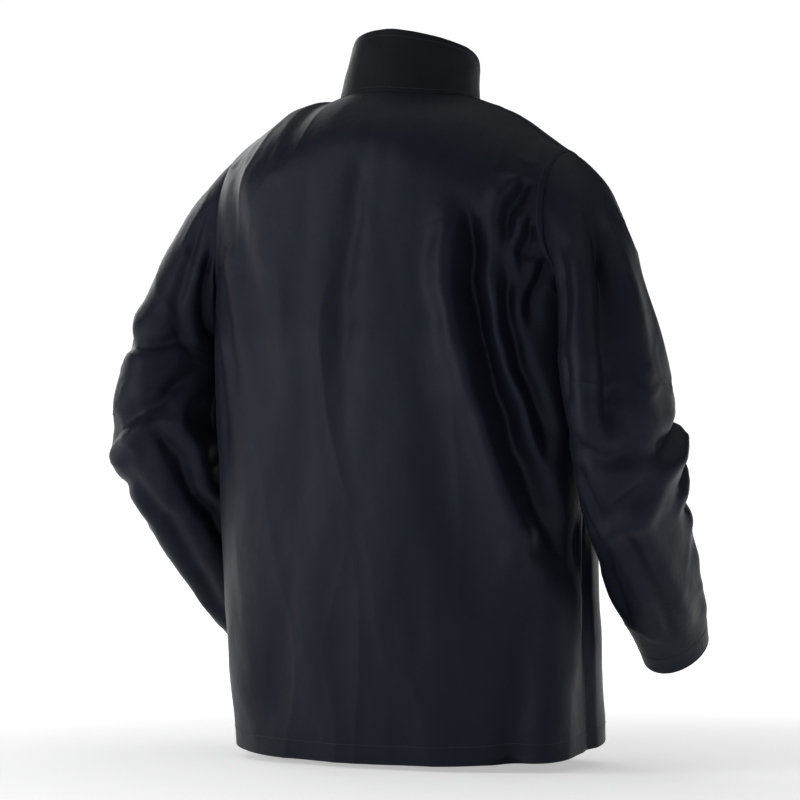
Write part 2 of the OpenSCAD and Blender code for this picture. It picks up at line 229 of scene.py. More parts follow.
def near(px, pz, path):
    """Signed distance from a path in the plane, and how far along it, 0 to 1."""
    best = np.full(px.shape, 1e9)
    sgn, along = np.zeros(px.shape), np.zeros(px.shape)
    path = np.array(path, float)
    seg = np.linalg.norm(np.diff(path, axis=0), axis=1)
    total, done = seg.sum(), 0.0
    for (x0, z0), (x1, z1), le in zip(path[:-1], path[1:], seg):
        ux, uz = (x1 - x0) / le, (z1 - z0) / le
        t = np.clip((px - x0) * ux + (pz - z0) * uz, 0, le)
        dx, dz = px - x0 - ux * t, pz - z0 - uz * t
        d = np.hypot(dx, dz)
        c = ux * dz - uz * dx
        upd = d < best
        best = np.where(upd, d, best)
        sgn = np.where(upd, np.sign(c), sgn)
        along = np.where(upd, (done + t) / total, along)
        done += le
    return best * sgn, along


def crease(px, pz, path, width, deep, ridge_up=0.6, side=1, fade=(0.15, 0.25)):
    """A valley along a path with a rounded ridge on one side of it."""
    d, al = near(px, pz, path)
    d = d * side
    env = sm(al / fade[0]) * sm((1 - al) / fade[1])
    env = np.where(np.abs(d) > 8 * width, 0, env)
    valley = np.exp(-(d / width) ** 2)
    rid = np.exp(-((d - 2.1 * width) / (1.35 * width)) ** 2)
    return deep * env * (ridge_up * rid - valley)


def back_folds(p):
    x, z = p[..., 0], p[..., 2]
    d = 0 * x
    d += crease(x, z, [(-34, -60), (-19, -127), (-7, -200), (-1, -290), (1, -380), (8, -470)],
                15, 5.0, 0.7, 1, (0.2, 0.5))
    d += crease(x, z, [(-80, -230), (-90, -290), (-112, -400), (-152, -578), (-168, -700)],
                24, 5.0, 0.5, -1, (0.3, 0.3))
    d += crease(x, z, [(-150, -120), (-157, -165), (-160, -235), (-173, -303), (-190, -373), (-214, -451),
                       (-231, -521), (-236, -610)],
                12.5, 23, 0.9, 1, (0.16, 0.2))
    d += crease(x, z, [(-192, -190), (-200, -235), (-206, -290), (-219, -365), (-230, -410), (-236, -470)],
                8, 14, 0.8, 1, (0.2, 0.3))
    d += crease(x, z, [(-214, -105), (-200, -165), (-196, -235)], 7, 10, 0.9, 1, (0.1, 0.5))
    d += crease(x, z, [(-228, -150), (-213, -200), (-210, -272)], 6, 9, 0.9, 1, (0.1, 0.5))
    d += crease(x, z, [(-230, -205), (-223, -250), (-221, -310)], 6, 8, 0.9, 1, (0.1, 0.5))
    d += crease(x, z, [(200, -95), (170, -160), (140, -240), (118, -330), (110, -420)], 20, 5, 0.7, -1, (0.15, 0.5))
    d += crease(x, z, [(226, -190), (205, -240), (180, -300), (168, -380)], 12, 5, 0.7, -1, (0.1, 0.5))
    d += crease(x, z, [(232, -262), (215, -310), (200, -390), (196, -470)], 10, 4, 0.6, -1, (0.1, 0.5))
    d += crease(x, z, [(60, -330), (70, -450), (95, -600), (118, -770)], 30, 5, 0.6, 1, (0.4, 0.1))
    d += crease(x, z, [(-222, -520), (-207, -620), (-192, -720), (-182, -800)], 15, 13, 0.7, -1, (0.4, 0.05))
    return d


def front_folds(p, left):
    x, z = (p[..., 0] if left else -p[..., 0]), p[..., 2]
    d = 0 * x
    d += crease(x, z, [(205, -90), (165, -150), (120, -230), (95, -330), (88, -430)], 18, 6, 0.7, -1, (0.15, 0.5))
    d += crease(x, z, [(228, -175), (195, -225), (160, -300), (145, -390), (140, -480)], 13, 7, 0.7, -1, (0.1, 0.5))
    d += crease(x, z, [(232, -255), (210, -320), (198, -420), (190, -520)], 10, 5 if left else 8, 0.6, -1, (0.1, 0.5))
    d += crease(x, z, [(120, -420), (135, -560), (150, -700), (158, -800)], 26, 7, 0.6, 1, (0.4, 0.05))
    d += crease(x, z, [(70, -560), (78, -660), (84, -790)], 22, 4, 0.6, -1, (0.4, 0.05))
    return d


def body_lift(side, s, v, p):
    """How far the cloth stands off the body's surface."""
    a = np.abs(s)
    w = np.stack([bump(p, 70, 41, 2) * 6, 0 * s, bump(p, 70, 43, 2) * 6], -1)
    q = p + w
    d = back_folds(q) if side > 0 else np.where(p[..., 0] >= 0, front_folds(q, True), front_folds(q, False))
    soft = bump(p, 130, 1 if side > 0 else 2, 2, (1.25, 0.6, 0.42)) * 5.0 + bump(p, 46, 3, 2, (1.2, 0.6, 0.55)) * 1.2
    fine = ridged(p, 120, 13 if side > 0 else 17, (1.3, 0.6, 0.3), 0.3) * 1.2
    # pulls that run in from the armholes
    arm = np.exp(-((1 - a) / 0.22) ** 2) * sm((v - 0.42) / 0.15) * sm((0.99 - v) / 0.12)
    fine = fine + ridged(p, 60, 23, (1.2, 0.8, 0.6)) * 2.0 * arm
    hold = sm((1 - a) / 0.05) * sm((1 - v) / 0.07)
    if side < 0:
        hold = hold * (0.3 + 0.7 * sm((a - 0.12) / 0.2))
    wave = sm((0.12 - v) / 0.12) * bump(p, 90, 5, 1, (1, 0.5, 0.2)) * 5
    return (d + soft + fine) * hold + wave * hold


# Creases of each sleeve as paths of (q, al): width in mm, depth in mm, side of the raised edge.
FOLDS = {
    1: [([(0.95, 0.45), (1.0, 0.32), (0.93, 0.2), (0.7, 0.09)], 8, 8, 1),
        ([(1.22, 0.44), (1.2, 0.31), (1.13, 0.15), (1.0, 0.04)], 9, 10, -1),
        ([(1.14, 0.19), (1.28, 0.12), (1.48, 0.09), (1.66, 0.12)], 10, 13, 1),
        ([(1.24, 0.3), (1.43, 0.22), (1.74, 0.24), (1.92, 0.2)], 11, 6, -1),
        ([(0.1, 0.3), (0.4, 0.24), (0.72, 0.16), (0.92, 0.07)], 9, 6, 1),
        ([(0.04, 0.22), (0.3, 0.14), (0.6, 0.04)], 8, 7, 1),
        ([(1.3, 0.5), (1.34, 0.38), (1.3, 0.26)], 8, 6, 1),
        ([(0.1, 0.7), (0.5, 0.76), (0.95, 0.84)], 10, 7, -1),
        ([(0.05, 0.82), (0.4, 0.9), (0.8, 0.97)], 9, 7, -1),
        ([(0.9, 0.62), (1.12, 0.72), (1.2, 0.86), (1.16, 0.98)], 9, 10, 1),
        ([(1.28, 0.6), (1.3, 0.74), (1.25, 0.88), (1.3, 1.0)], 9, 11, -1),
        ([(1.4, 0.58), (1.46, 0.7), (1.4, 0.84), (1.45, 0.96)], 9, 9, 1),
        ([(1.5, 0.66), (1.7, 0.74), (1.9, 0.7)], 11, 6, 1),
        ([(1.55, 0.44), (1.72, 0.5), (1.88, 0.46)], 11, 5, -1)],
    -1: [([(0.4, 0.395), (0.8, 0.39), (1.0, 0.385), (1.28, 0.37)], 12, 8, -1),
         ([(0.22, 0.375), (0.55, 0.36), (0.8, 0.35), (1.0, 0.34), (1.28, 0.32)], 14, 18, 1),
         ([(0.1, 0.22), (0.4, 0.17), (0.8, 0.14), (1.2, 0.16)], 10, 9, 1),
         ([(1.16, 0.1), (1.22, 0.19), (1.25, 0.3), (1.23, 0.42)], 9, 9, -1),
         ([(1.26, 0.16), (1.38, 0.22), (1.34, 0.34), (1.27, 0.44)], 9, 9, 1),
         ([(1.3, 0.12), (1.44, 0.18), (1.6, 0.16), (1.78, 0.2)], 10, 9, 1),
         ([(1.34, 0.26), (1.52, 0.32), (1.74, 0.35), (1.93, 0.4)], 11, 8, -1),
         ([(1.245, 0.36), (1.255, 0.52), (1.2, 0.72), (1.22, 0.92)], 10, 15, 1),
         ([(1.38, 0.44), (1.39, 0.6), (1.32, 0.78), (1.34, 0.94)], 8, 8, 1),
         ([(1.47, 0.5), (1.5, 0.64), (1.43, 0.8), (1.45, 0.95)], 9, 8, 1),
         ([(0.1, 0.7), (0.5, 0.75), (0.95, 0.82)], 10, 8, -1),
         ([(0.06, 0.8), (0.4, 0.88), (0.8, 0.95)], 9, 7, -1),
         ([(1.6, 0.64), (1.76, 0.6), (1.93, 0.64)], 11, 6, 1)]}


def ridged(p, scale, seed, stretch, warp=0.5):
    """Crisp, wandering ridges from 0 to 1, as fine wrinkles have."""
    w = bump(p, scale * 1.7, seed + 3, 1) * warp * scale
    return (1 - np.abs(bump(p + w[..., None] * [1, -1, 0.4], scale, seed, 2, stretch)) * 2.2).clip(0, 1) ** 3


def sleeve_lift(sd, q, al, p):
    m = ARMS[sd]
    grow = sm(q / 0.25)
    al = al % 1.0
    girth = 400 if sd > 0 else 380
    px, pz = al * girth, np.where(q < 1, q * 110, 110 + (q - 1) * m["len"])
    # the creases wander a little from their paths
    wx, wz = bump(p, 80, 31 + sd, 2) * 8, bump(p, 80, 37 + sd, 2) * 8
    d = bump(p, 95, 7 + sd, 2, (1, 1, 0.55)) * 6 * grow
    for path, width, deep, side in FOLDS[sd]:
        pts = [(a * girth, c * 110 if c < 1 else 110 + (c - 1) * m["len"]) for c, a in path]
        for turn in (-girth, 0, girth):
            d += crease(px + wx + turn, pz + wz, pts, width, deep, 0.65, side, (0.22, 0.28))
    around = np.exp(-((q - 1 - m["ke"]) / 0.22) ** 2)
    d += ridged(p, 70, 51 + sd, (0.9, 0.9, 1.5)) * 2.4 * (0.1 + 0.9 * around) * grow
    d += ridged(p, 110, 57 + sd, (1.5, 1.2, 0.4)) * 1.6 * grow
    hold = sm(q / 0.14) * (0.2 + 0.8 * sm((2 - q) / 0.16))
    if sd < 0:  # the right shoulder is pulled in
        d -= 13 * sm(q / 0.4) * sm((1.15 - q) / 0.6) * (0.5 - 0.5 * np.cos(2 * np.pi * al))
    return d * hold


# ------------------------------------------------------------------ cloth surfaces with their folds
def groove(d, wide):
    """1 on a seam, falling to 0 away from it, at d millimetres from the seam."""
    return np.exp(-(d / wide) ** 2)


def body_seams(s, v, side):
    """How far the side seams, and the back's shoulder seams, draw the cloth in."""
    g = SEAM_PULL * groove((1 - np.abs(s)) * 400, SEAM_WIDE)
    if side > 0:
        g = g + SEAM_PULL * groove((1 - v) * 660, SEAM_WIDE) * (np.abs(s) > SN)
    return g


def back_out(s, v, off=0.0):
    """Points and outward normals of the back's outer face."""
    s, v = np.broadcast_arrays(np.asarray(s, float), np.asarray(v, float))
    p = body(1, s, v)
    n = -normal(lambda a, b: body(1, a, b), s, v, 0.004, 0.004)
    d = body_lift(1, s, v, p) + tuck(1, s, v) + off - body_seams(s, v, 1)
    return shoulder(p) + n * d[..., None], n


def shoulder(p):
    """The cloth over the left shoulder rides up beside the collar, and the right shoulder drops."""
    x, high = p[..., 0], sm((p[..., 2] + 210) / 150)
    rise = 9 * sm((x - 84) / 26) * sm((222 - x) / 110) * high
    fall_away = -15 * sm((-x - 130) / 100) * high
    return p + (rise + fall_away)[..., None] * [0, 0, 1.0] + fall_away[..., None] * [-0.55, 0, 0]


def tuck(side, s, v):
    """The lower right side hangs in towards the body."""
    a = np.abs(s)
    w = sm((a - 0.72) / 0.28) if side > 0 else sm((a - 0.3) / 0.5)
    return np.where(s < 0, -15 * w * sm((0.52 - v) / 0.25), 0.0)


def lap(s):
    return LIFT * sm((0.1 - s) / 0.1)


def front_out(s, v, off=0.0):
    """Points and outward normals of the fronts' outer face."""
    s, v = np.broadcast_arrays(np.asarray(s, float), np.asarray(v, float))
    p = body(-1, s, v)
    n = normal(lambda a, b: body(-1, a, b), s, v, 0.004, 0.004)
    d = body_lift(-1, s, v, p) + tuck(-1, s, v) + off - body_seams(s, v, -1)
    return shoulder(p) + n * d[..., None], n


def sleeve_out(sd, q, al, off=0.0):
    """Points and outward normals of a sleeve's outer face; sd is 1 on the left and -1 on the right."""
    m = ARMS[sd]
    q, al = np.broadcast_arrays(np.asarray(q, float), np.asarray(al, float))
    p = sleeve(m, q, al)
    n = normal(lambda a, b: sleeve(m, b, a), al, q, 0.006, 0.008)
    d = sleeve_lift(sd, q, al, p)
    o = p + n * (d + off)[..., None]
    armhole, underarm = q * 110, np.minimum(al % 1, 1 - al % 1) * 480
    g = 0.8 * groove(armhole, 2.4) + 0.7 * groove(underarm, 2.0)
    o = o - n * g[..., None]
    w = np.array([sd, 1, 1.0])
    return shoulder(o * w), n * w


def collar_out(psi, h, off=0.0):
    """Points and outward normals of the collar's outer face at angle psi from the middle of the back."""
    psi, h = np.broadcast_arrays(np.asarray(psi, float), np.asarray(h, float))
    p = collar(psi, h)
    n = -normal(collar, psi, h, 0.7, 0.02)
    w = bump(p, 45, 21, 2) * 2.2 * sm(h / 0.5)
    return p + n * (w + off)[..., None], n


# ------------------------------------------------------------------ building pieces
def ticks(a, b, n, fine=(0.0002, 0.0015, 0.004)):
    """n steps from a to b with a few fine steps at each end."""
    t = np.linspace(0, 1, n + 1)
    ends = [f for f in fine if f < t[1] * 0.7]
    t = np.unique(np.concatenate([t, ends, [1 - f for f in ends]]))
    return a + (b - a) * t


def shell(P, N, t, uv, wrap=False):
    """Vertices, faces and uv of a sheet with its outer face through the grid P and a rounded rim."""
    n, k = P.shape[:2]
    t = np.broadcast_to(np.asarray(t, float), (n, k))
    Q = P - N * t[..., None]
    V = [P.reshape(-1, 3), Q.reshape(-1, 3)]
    U = [uv.reshape(-1, 2), uv.reshape(-1, 2)]
    F = []
    kk = k if wrap else k - 1
    idx = np.arange(n * k).reshape(n, k)
    a = idx[:-1, :kk]
    b = np.roll(idx, -1, 1)[:-1, :kk]
    c = np.roll(idx, -1, 1)[1:, :kk]
    d = idx[1:, :kk]
    F.append(np.stack([a, b, c, d], -1).reshape(-1, 4))
    F.append((np.stack([a, d, c, b], -1) + n * k).reshape(-1, 4))
    start = 2 * n * k

    def rim(line, inner, closed, flip):
        nonlocal start
        p, q = P.reshape(-1, 3)[line], Q.reshape(-1, 3)[line]
        o = unit(p - P.reshape(-1, 3)[inner])
        mid = (p + q) / 2 + o * np.linalg.norm(p - q, axis=-1, keepdims=True) * 0.42
        V.append(mid)
        U.append(uv.reshape(-1, 2)[line])
        m = len(line)
        j = np.arange(m if closed else m - 1)
        j2 = (j + 1) % m
        o0, o1, i0, i1 = line[j], line[j2], line[j] + n * k, line[j2] + n * k
        m0, m1 = start + j, start + j2
        f1, f2 = np.stack([o0, m0, m1, o1], -1), np.stack([m0, i0, i1, m1], -1)
        for f in (f1, f2):
            F.append(f[:, ::-1] if flip else f)
        start += m
        return start - m

    low, top = rim(idx[0], idx[1], wrap, False), rim(idx[-1], idx[-2], wrap, True)
    if not wrap:
        left, far = rim(idx[:, 0], idx[:, 1], False, True), rim(idx[:, -1], idx[:, -2], False, False)
        for o, a, b, turn in ((idx[0, 0], low, left, True), (idx[0, -1], low + k - 1, far, False),
                              (idx[-1, 0], top, left + n - 1, False), (idx[-1, -1], top + k - 1, far + n - 1, True)):
            F.append(np.array([[a, o, b, o + n * k] if turn else [o, a, o + n * k, b]]))
    return np.concatenate(V), np.concatenate(F), np.concatenate(U)


def thread(path, nrm, pitch=3.6, length=2.7, r=0.34):
    """Stitches along a path of points, each a small rounded bar whose ends go into the cloth."""
    seg = np.linalg.norm(np.diff(path, axis=0), axis=1)
    s = np.concatenate([[0], np.cumsum(seg)])
    count = int(s[-1] / pitch)
    V, F = [], []
    if count < 1:
        return np.zeros((0, 3)), [], None
    cen = (np.arange(count) + 0.5) * pitch
    at = lambda x: np.stack([np.interp(x, s, path[:, k]) for k in range(3)], -1)
    nn = unit(np.stack([np.interp(cen, s, nrm[:, k]) for k in range(3)], -1))
    d = unit(at(cen + 0.6) - at(cen - 0.6))
    b = np.cross(nn, d)
    rings = ((-0.5, -0.35), (-0.3, 0.42), (0.0, 0.62), (0.3, 0.42), (0.5, -0.35))
    ang = np.radians([30, 90, 150, 210, 330])
    for f, up in rings:
        c = at(cen + f * length) + nn * (r * up)
        for an in ang:
            V.append(c + b * (r * math.cos(an)) + nn * (r * 0.8 * math.sin(an)))
    V = np.stack(V, 1)
    m, na = V.shape[1], len(ang)
    f = [(i * na + j, i * na + (j + 1) % na, (i + 1) * na + (j + 1) % na, (i + 1) * na + j)
         for i in range(len(rings) - 1) for j in range(na)]
    f = [c[::-1] for c in f] + [tuple(range(na)), tuple(reversed(range((len(rings) - 1) * na, len(rings) * na)))]
    F = [tuple(i + k * m for i in c) for k in range(count) for c in f]
    return V.reshape(-1, 3), F, None


HARD_EDGE = 62  # faces that meet at more than this many degrees are shaded apart


def make(name, parts, mats):
    """One object from (vertices in mm, faces, uv or None, material number) parts."""
    me = bpy.data.meshes.new(name)
    vs, fs, us, mi, base = [], [], [], [], 0
    for V, F, U, k in parts:
        if not len(V):
            continue
        vs.append(V)
        F = [tuple(int(i) + base for i in f) for f in F]
        fs += F
        us.append(U if U is not None else np.zeros((len(V), 2)))
        mi += [k] * len(F)
        base += len(V)
    V, U = np.concatenate(vs) / 1000, np.concatenate(us)
    me.from_pydata(V.tolist(), [], fs)
    me.validate()
    lay = me.uv_layers.new(name="UVMap")
    li = np.zeros(len(me.loops), np.int32)
    me.loops.foreach_get("vertex_index", li)
    lay.data.foreach_set("uv", U[li].astype(np.float32).ravel())
    for m in mats:
        me.materials.append(m)
    me.polygons.foreach_set("material_index", np.array(mi, np.int32)[:len(me.polygons)])
    me.polygons.foreach_set("use_smooth", [True] * len(me.polygons))
    me.set_sharp_from_angle(angle=math.radians(HARD_EDGE))
    me.update()
    o = bpy.data.objects.new(name, me)
    bpy.context.scene.collection.objects.link(o)
    return o


def seam(f, a, b):
    """A stitch line through parameters a and b on the surface f, in the object's second material."""
    return (*thread(*f(a, b)), 1)


def lathe(rings, seg=28):
    """A turned solid from (radius, height) rings, in its own frame."""
    V, F = [], []
    for r, h in rings:
        for j in range(seg):
            an = 2 * math.pi * j / seg
            V.append((r * math.cos(an), r * math.sin(an), h))
    for i in range(len(rings) - 1):
        for j in range(seg):
            k = (j + 1) % seg
            F.append((i * seg + j, i * seg + k, (i + 1) * seg + k, (i + 1) * seg + j))
    V = np.array(V, float)
    for i, fl in ((0, True), (len(rings) - 1, False)):
        if rings[i][0] > 1e-6:
            f = tuple(i * seg + j for j in range(seg))
            F.append(f[::-1] if fl else f)
    return V, F


def placed(VF, p, n, d=0.0):
    """A turned solid stood on the point p along the direction n, a distance d away."""
    V, F = VF
    n = unit(np.asarray(n, float))
    x = unit(np.cross([0, 0, 1.0], n))
    y = np.cross(n, x)
    return p + n * d + V[:, :1] * x + V[:, 1:2] * y + V[:, 2:3] * n, F


# ------------------------------------------------------------------ materials
def material(name, color, rough, metal=0.0, sheen=0.0, sheen_rough=0.4, weave=0.0, vary=0.0, spec=0.5,
             crumple=0.0, gleam=(1, 1, 1)):
    """A surface whose colour varies by vary, with a fine weave and small crumples as bumps."""
    m = bpy.data.materials.new(name)
    m.use_nodes = True
    nt = m.node_tree
    b = nt.nodes["Principled BSDF"]
    b.inputs["Base Color"].default_value = (*color, 1)
    b.inputs["Roughness"].default_value = rough
    b.inputs["Metallic"].default_value = metal
    b.inputs["Specular IOR Level"].default_value = spec
    b.inputs["Specular Tint"].default_value = (*gleam, 1)
    b.inputs["Sheen Weight"].default_value = sheen
    b.inputs["Sheen Roughness"].default_value = sheen_rough
    b.inputs["Sheen Tint"].default_value = (0.5, 0.55, 0.7, 1)
    L = nt.links
    tc = nt.nodes.new("ShaderNodeTexCoord")

    def noise_node(scale, detail):
        t = nt.nodes.new("ShaderNodeTexNoise")
        t.inputs["Scale"].default_value = scale
        t.inputs["Detail"].default_value = detail
        L.new(tc.outputs["Object"], t.inputs["Vector"])
        return t

    if vary:
        t = noise_node(9, 4)
        t2 = noise_node(160, 3)
        add = nt.nodes.new("ShaderNodeMath")
        add.operation = "MULTIPLY_ADD"
        L.new(t2.outputs["Fac"], add.inputs[0])
        add.inputs[1].default_value = 0.225
        L.new(t.outputs["Fac"], add.inputs[2])
        r = nt.nodes.new("ShaderNodeMapRange")
        r.inputs["From Min"].default_value, r.inputs["From Max"].default_value = 0.3, 1.05
        r.inputs["To Min"].default_value, r.inputs["To Max"].default_value = 1 - vary, 1 + vary
        L.new(add.outputs[0], r.inputs["Value"])
        c = nt.nodes.new("ShaderNodeVectorMath")
        c.operation = "SCALE"
        c.inputs[0].default_value = color
        L.new(r.outputs["Result"], c.inputs["Scale"])
        L.new(c.outputs["Vector"], b.inputs["Base Color"])
        r2 = nt.nodes.new("ShaderNodeMapRange")
        r2.inputs["To Min"].default_value, r2.inputs["To Max"].default_value = rough - 0.06, rough + 0.08
        L.new(t.outputs["Fac"], r2.inputs["Value"])
        L.new(r2.outputs["Result"], b.inputs["Roughness"])
    last = None
    if weave:
        sep = nt.nodes.new("ShaderNodeMapping")
        sep.inputs["Rotation"].default_value = (0, 0, math.radians(63))
        L.new(tc.outputs["UV"], sep.inputs["Vector"])
        wv = nt.nodes.new("ShaderNodeTexWave")
        wv.inputs["Scale"].default_value = 320
        wv.inputs["Distortion"].default_value = 0.6
        wv.inputs["Detail"].default_value = 1
        L.new(sep.outputs["Vector"], wv.inputs["Vector"])
        bp = nt.nodes.new("ShaderNodeBump")
        bp.inputs["Strength"].default_value = weave
        bp.inputs["Distance"].default_value = 0.0002
        L.new(wv.outputs["Fac"], bp.inputs["Height"])
        last = bp
    if crumple:
        for sc, dist in ((34, 0.0035), (120, 0.0009)):
            t = noise_node(sc, 3)
            bp = nt.nodes.new("ShaderNodeBump")
            bp.inputs["Strength"].default_value = crumple
            bp.inputs["Distance"].default_value = dist
            L.new(t.outputs["Fac"], bp.inputs["Height"])
            if last:
                L.new(last.outputs["Normal"], bp.inputs["Normal"])
            last = bp
    if last:
        L.new(last.outputs["Normal"], b.inputs["Normal"])
    return m


M_OUT = material("navy_sateen", (0.0058, 0.0074, 0.0125), 0.44, sheen=0.02, sheen_rough=0.35, weave=0.4,
                 vary=0.10, spec=0.13, crumple=0.3, gleam=(0.72, 0.82, 1.0))
M_COL = material("collar_sateen", (0.0048, 0.0058, 0.0088), 0.55, sheen=0.03, weave=0.4,
                 vary=0.10, spec=0.12, crumple=0.25)
M_IN = material("cloth_reverse", (0.013, 0.015, 0.022), 0.85, sheen=0.06, weave=0.4,
                vary=0.10, spec=0.15, crumple=0.25)
M_THR = material("thread", (0.014, 0.017, 0.026), 0.55, sheen=0.06, vary=0.08, spec=0.3)
M_TAPE = material("cotton_tape", (0.01, 0.011, 0.014), 0.9, sheen=0.08, weave=0.8, vary=0.06, spec=0.15)
M_LABEL = material("blank_label", (0.42, 0.44, 0.48), 0.8, sheen=0.2, weave=0.6, vary=0.05)
M_CAP = material("blackened_brass", (0.035, 0.036, 0.04), 0.34, metal=0.85, vary=0.08)
M_METAL = material("nickel_plate", (0.52, 0.52, 0.53), 0.28, metal=1.0, vary=0.06)


def grid_piece(f, a, b, t, scale_uv, wrap=False):
    """A sheet over columns a and rows b of the surface f(a, b) -> points, normals."""
    A, B = np.meshgrid(a, b)
    P, N = f(A, B)
    uv = np.stack([A * scale_uv[0], B * scale_uv[1]], -1)
    tt = t(A, B) if callable(t) else t
    V, F, U = shell(P, N, tt, uv, wrap)
    return V, F, U, 0


def line(f, a, b, n=300):
    """A stitch line on the surface f along the columns a and the rows b, sampled at n points."""
    t = np.linspace(0, 1, n)
    return seam(f, np.interp(t, np.linspace(0, 1, len(np.atleast_1d(a))), np.atleast_1d(a)),
                np.interp(t, np.linspace(0, 1, len(np.atleast_1d(b))), np.atleast_1d(b)))


def hem_t(A, B):
    """The cloth's thickness, doubled where the hem is turned in."""
    return np.where(B < HEMV - 0.0007, T + 1.5, T)


HEMV = 0.0262  # the row where the turned-in hem ends, with its step between two rows of points
rows = np.unique(np.concatenate([ticks(0, 1, 220), [HEMV - 0.001, HEMV]]))
edge = 0.9993  # the column where a panel ends, just short of the side seam

# back
cols = ticks(edge, -edge, 232)
parts = [grid_piece(back_out, cols, rows, hem_t, BODY_UV)]
parts += [line(back_out, [-edge, edge], [HEMV - 0.002] * 2)]
for sg in (1, -1):
    parts += [line(back_out, [sg * 0.984] * 2, [VA + 0.02, 0.992]),
              line(back_out, [sg * (SN + 0.02), sg * 0.984], [0.992] * 2)]
    parts += [line(back_out, [sg * a] * 2, [0.004, VA - 0.02], 400) for a in (0.985, 0.965)]
back = make("back_panel_cloth", parts, [M_OUT, M_THR])
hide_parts("back_panel")


def mm(v, sg=1):
    """A point given in millimetres on the left side, in metres on side sg."""
    return [float(v[0]) * sg / 1000, float(v[1]) / 1000, float(v[2]) / 1000]


def open_with_front(o):
    """Bakes o's placement into its mesh."""
    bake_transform(o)


ffl = lambda a, b: front_out(a, b, lap(a))
ffr = lambda a, b: front_out(a, b)
cols = ticks(-OVER, edge, 112)
parts = [grid_piece(ffl, cols, rows, hem_t, BODY_UV),
         line(ffl, [-OVER + 0.02] * 2, [0.01, 0.993], 500), line(ffl, [FACE - 0.015] * 2, [0.03, 0.9], 500),
         line(ffl, [-OVER + 0.02, edge], [HEMV - 0.002] * 2), line(ffl, [SN + 0.02, 0.984], [0.992] * 2)]
left_front = make("left_front_cloth", parts, [M_OUT, M_THR])
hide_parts("left_front_side", "left_front_fold", "left_front_edge")
cols = ticks(-edge, -0.004, 100)
parts = [grid_piece(ffr, cols, rows, hem_t, BODY_UV),
         line(ffr, [-0.03] * 2, [0.01, 0.993], 500), line(ffr, [-FACE + 0.015] * 2, [0.03, 0.9], 500),
         line(ffr, [-edge, -0.02], [HEMV - 0.002] * 2), line(ffr, [-0.984, -SN - 0.02], [0.992] * 2)]
right_front = make("right_front_cloth", parts, [M_OUT, M_THR])
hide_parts("right_front_side", "right_front_fold", "right_front_edge")

frows = ticks(0.005, 0.975, 120)
parts = [grid_piece(lambda a, b: front_out(a, b, lap(a) - 2.2), np.linspace(-OVER + 0.008, FACE, 26),
                    frows, 1.0, BODY_UV)]
left_facing = make("left_facing_cloth", parts, [M_IN])
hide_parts("left_facing")
parts = [grid_piece(lambda a, b: front_out(a, b, -1.8), np.linspace(-FACE, -0.012, 16), frows, 1.0, BODY_UV)]
right_facing = make("right_facing_cloth", parts, [M_IN])
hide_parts("right_facing")


# collar
def collar_f(off):
    return lambda a, b: collar_out(a, b, psi_lap(a) + off)


def collar_piece(name, a, b, n, inner, nodes):
    f = collar_f(-2.0 if inner else 0.0)
    ps = ticks(a, b, n, (0.004, 0.01))
    hh = ticks(0.01, 1.0, 16, (0.01, 0.03))
    parts = [grid_piece(f, ps, hh, 1.1 if inner else T, COLLAR_UV)]
    if not inner:
        # the upper line stops short of the collar's front end
        inset = 4 * np.sign(a - b)
        parts += [line(f, [a - inset * (abs(a) > 170), b + inset * (abs(b) > 170)], [0.9] * 2, 500),
                  line(f, [a, b], [0.07] * 2, 500)]
        e = a if abs(a) > abs(b) else b
        e2 = e - 4 * np.sign(e)
        parts += [line(f, [e2, e2], [0.1, 0.9], 60)]
    o = make(name, parts, [M_IN if inner else M_COL, M_THR])
    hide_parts(*nodes)
    return o


col_lo = collar_piece("collar_outer_left_cloth", 203, 0, 96, False, ["collar_back_outer", "collar_left_outer"])
col_ro = collar_piece("collar_outer_right_cloth", 0, -179, 84, False, ["collar_back_outer", "collar_right_outer"])
col_li = collar_piece("collar_inner_left_cloth", 202, 0, 96, True, ["collar_back_inner", "collar_left_inner"])
col_ri = collar_piece("collar_inner_right_cloth", 0, -178.6, 84, True, ["collar_back_inner", "collar_right_inner"])

# parts of a snap, from (radius, height) rings
cap = lathe([(0.01, 0), (7.4, 0), (7.5, 0.35), (7.2, 0.7), (5.8, 1.15), (3.2, 1.36), (0.01, 1.4)])
sock = lathe([(3.05, 0), (5.4, 0), (5.5, 0.4), (5.3, 1.9), (5.0, 2.1), (3.4, 2.1), (3.05, 1.9), (3.05, 0)])
stud = lathe([(0.01, 0), (5.4, 0), (5.5, 0.3), (5.2, 0.7), (2.4, 0.75), (2.3, 1.3), (2.6, 1.8), (2.2, 2.15),
              (0.01, 2.2)])
back_disc = lathe([(0.01, 0), (4.9, 0), (5.0, 0.4), (4.9, 0.8), (0.01, 0.8)])

# sleeves, each in two pieces that meet at q = SPLIT
SPLIT = 1.10


def sleeve_piece(sd, lower):
    f = lambda a, b: sleeve_out(sd, b, a)
    if lower:
        qs = np.unique(np.concatenate([ticks(SPLIT, 2.0, 84), [1.934, 1.937]]))
        t = lambda A, B: np.where(B > 1.9355, T + 1.2, T)
    else:
        qs = ticks(0.0, SPLIT, 70)
        t = T
    al = np.unique(np.concatenate([np.linspace(0, 1, 105)[:-1], [0.004, 0.996]]))
    if sd < 0:
        al = al[::-1]
    parts = [grid_piece(f, al, qs, t, SLEEVE_UV, True)]
    if lower:
        parts += [line(f, [0, 1], [1.939] * 2, 300), line(f, [0.013] * 2, [SPLIT, 1.995], 300)]
    else:
        parts += [line(f, [0.013] * 2, [0.2, SPLIT], 300)]
    side = "left" if sd > 0 else "right"
    o = make(side + ("_sleeve_lower" if lower else "_sleeve_upper") + "_cloth", parts, [M_OUT, M_THR])
    return o


